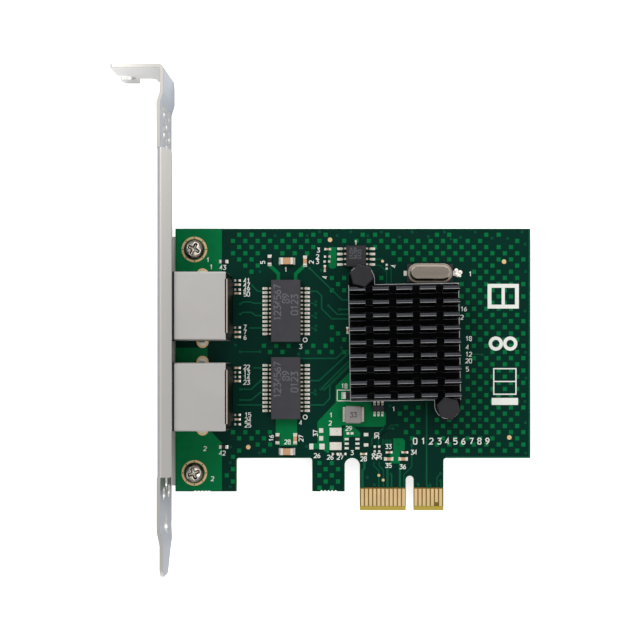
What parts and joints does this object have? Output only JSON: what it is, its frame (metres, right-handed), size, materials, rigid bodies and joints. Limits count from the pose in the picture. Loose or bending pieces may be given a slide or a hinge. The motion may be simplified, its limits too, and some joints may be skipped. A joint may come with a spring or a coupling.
{
  "type": "network interface card",
  "caption": "Wired network expansion card: slot bracket with side-by-side shielded jacks, short edge-contact board and a pin-fin heat sink.",
  "frame": {"origin": "on the component face, at the middle of the key notch, on the line of the board's lower edge below the contacts", "axes": "+X along the board away from the bracket, +Y from the edge contacts to the bracket's screw tab, +Z out of the component side"},
  "size_m": [0.0994, 0.1195, 0.0184],
  "materials": {
    "solder_mask": "dark green solder mask over a glass-epoxy laminate, glossy",
    "gold_plating": "thin gold plate on copper, satin",
    "solder": "bright tin solder, slightly wavy",
    "tinned_leads": "tin-plated leads, satin",
    "bracket_steel": "nickel-plated sheet steel, satin",
    "screw_steel": "nickel-plated steel, semi-bright",
    "shield_metal": "nickel-plated brass sheet, satin",
    "black_plastic": "black moulded thermoplastic, fine matt",
    "lamp_lens": "milky clear lens plastic, unlit",
    "chip_epoxy": "charcoal moulding epoxy, fine matt",
    "thermal_pad": "soft grey heat-conducting pad",
    "black_anodised": "black anodised aluminium, satin, bare on the sawn edges",
    "pin_plastic": "charcoal nylon",
    "spring_steel": "plain spring wire",
    "can_steel": "nickel-plated can, bright",
    "inductor_powder": "pressed metal powder, grey",
    "capacitor_ceramic": "tan ceramic",
    "resistor_film": "black glassy film coat",
    "mask_over_copper": "green solder mask where copper lies under it, glossy and lighter",
    "legend_ink": "white printed legend ink, matt"
  },
  "bodies": {
    "root": {"bracket": "bracket_steel", "bracket_screws": "screw_steel", "capacitor_bodies": "capacitor_ceramic", "capacitor_ends": "solder", "circuit_board": "solder_mask", "controller_chip": "chip_epoxy", "crystal_base": "black_plastic", "crystal_can": "can_steel", "crystal_leads": "tinned_leads", "edge_contacts": "gold_plating", "heat_sink": "black_anodised", "inductor_core": "inductor_powder", "inductor_terminals": "tinned_leads", "isolation_bodies": "capacitor_ceramic", "isolation_ends": "solder", "jack_1_housing": "black_plastic", "jack_1_lamps": "lamp_lens", "jack_1_shield": "shield_metal", "jack_1_wires": "gold_plating", "jack_2_housing": "black_plastic", "jack_2_lamps": "lamp_lens", "jack_2_shield": "shield_metal", "jack_2_wires": "gold_plating", "memory_chip_body": "chip_epoxy", "memory_chip_leads": "tinned_leads", "push_pin_springs": "spring_steel", "push_pins": "pin_plastic", "resistor_bodies": "resistor_film", "resistor_ends": "solder", "shunt_bodies": "resistor_film", "shunt_ends": "solder", "switch_chip_body": "chip_epoxy", "switch_chip_leads": "tinned_leads", "thermal_pad": "thermal_pad", "transformer_1_body": "chip_epoxy", "transformer_1_leads": "tinned_leads", "transformer_2_body": "chip_epoxy", "transformer_2_leads": "tinned_leads"}
  },
  "joints": []
}
